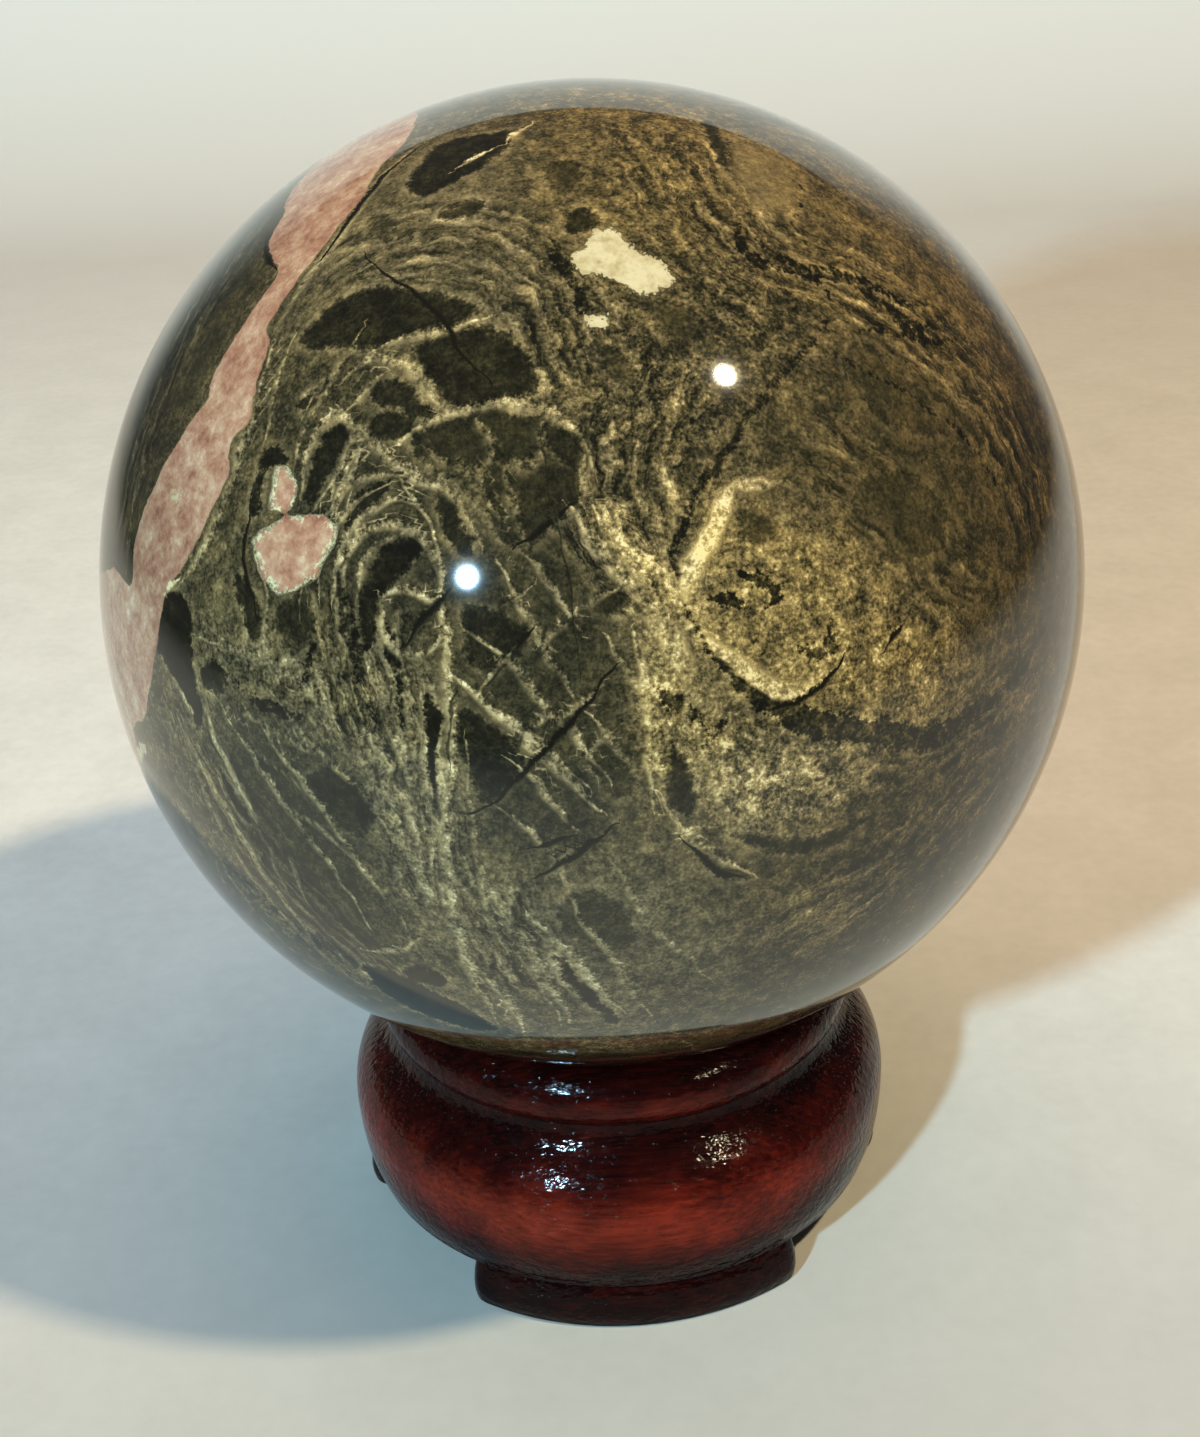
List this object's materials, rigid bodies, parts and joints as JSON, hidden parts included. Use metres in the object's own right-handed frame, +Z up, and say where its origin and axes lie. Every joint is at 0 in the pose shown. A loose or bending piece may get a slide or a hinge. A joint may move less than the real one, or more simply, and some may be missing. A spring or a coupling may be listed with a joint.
{
  "type": "decorative stone sphere on a wooden stand",
  "caption": "Polished stone ball resting loose on the round rim of a low turned wooden stand with arc-shaped feet.",
  "frame": {"origin": "on the surface that the feet stand on, under the middle of the ball", "axes": "+Z up; the front is -Y, where the middle of one foot faces almost straight ahead; +X is to the right of someone who looks at the front"},
  "size_m": [0.1, 0.1, 0.1252],
  "materials": {
    "stone": "polished brecciated stone, olive, tan and near-black with a pink vein",
    "lacquered_wood": "glossy dark red-brown lacquer with open pores"
  },
  "bodies": {
    "root": {"stone_ball": "stone", "wooden_stand": "lacquered_wood"}
  },
  "joints": []
}
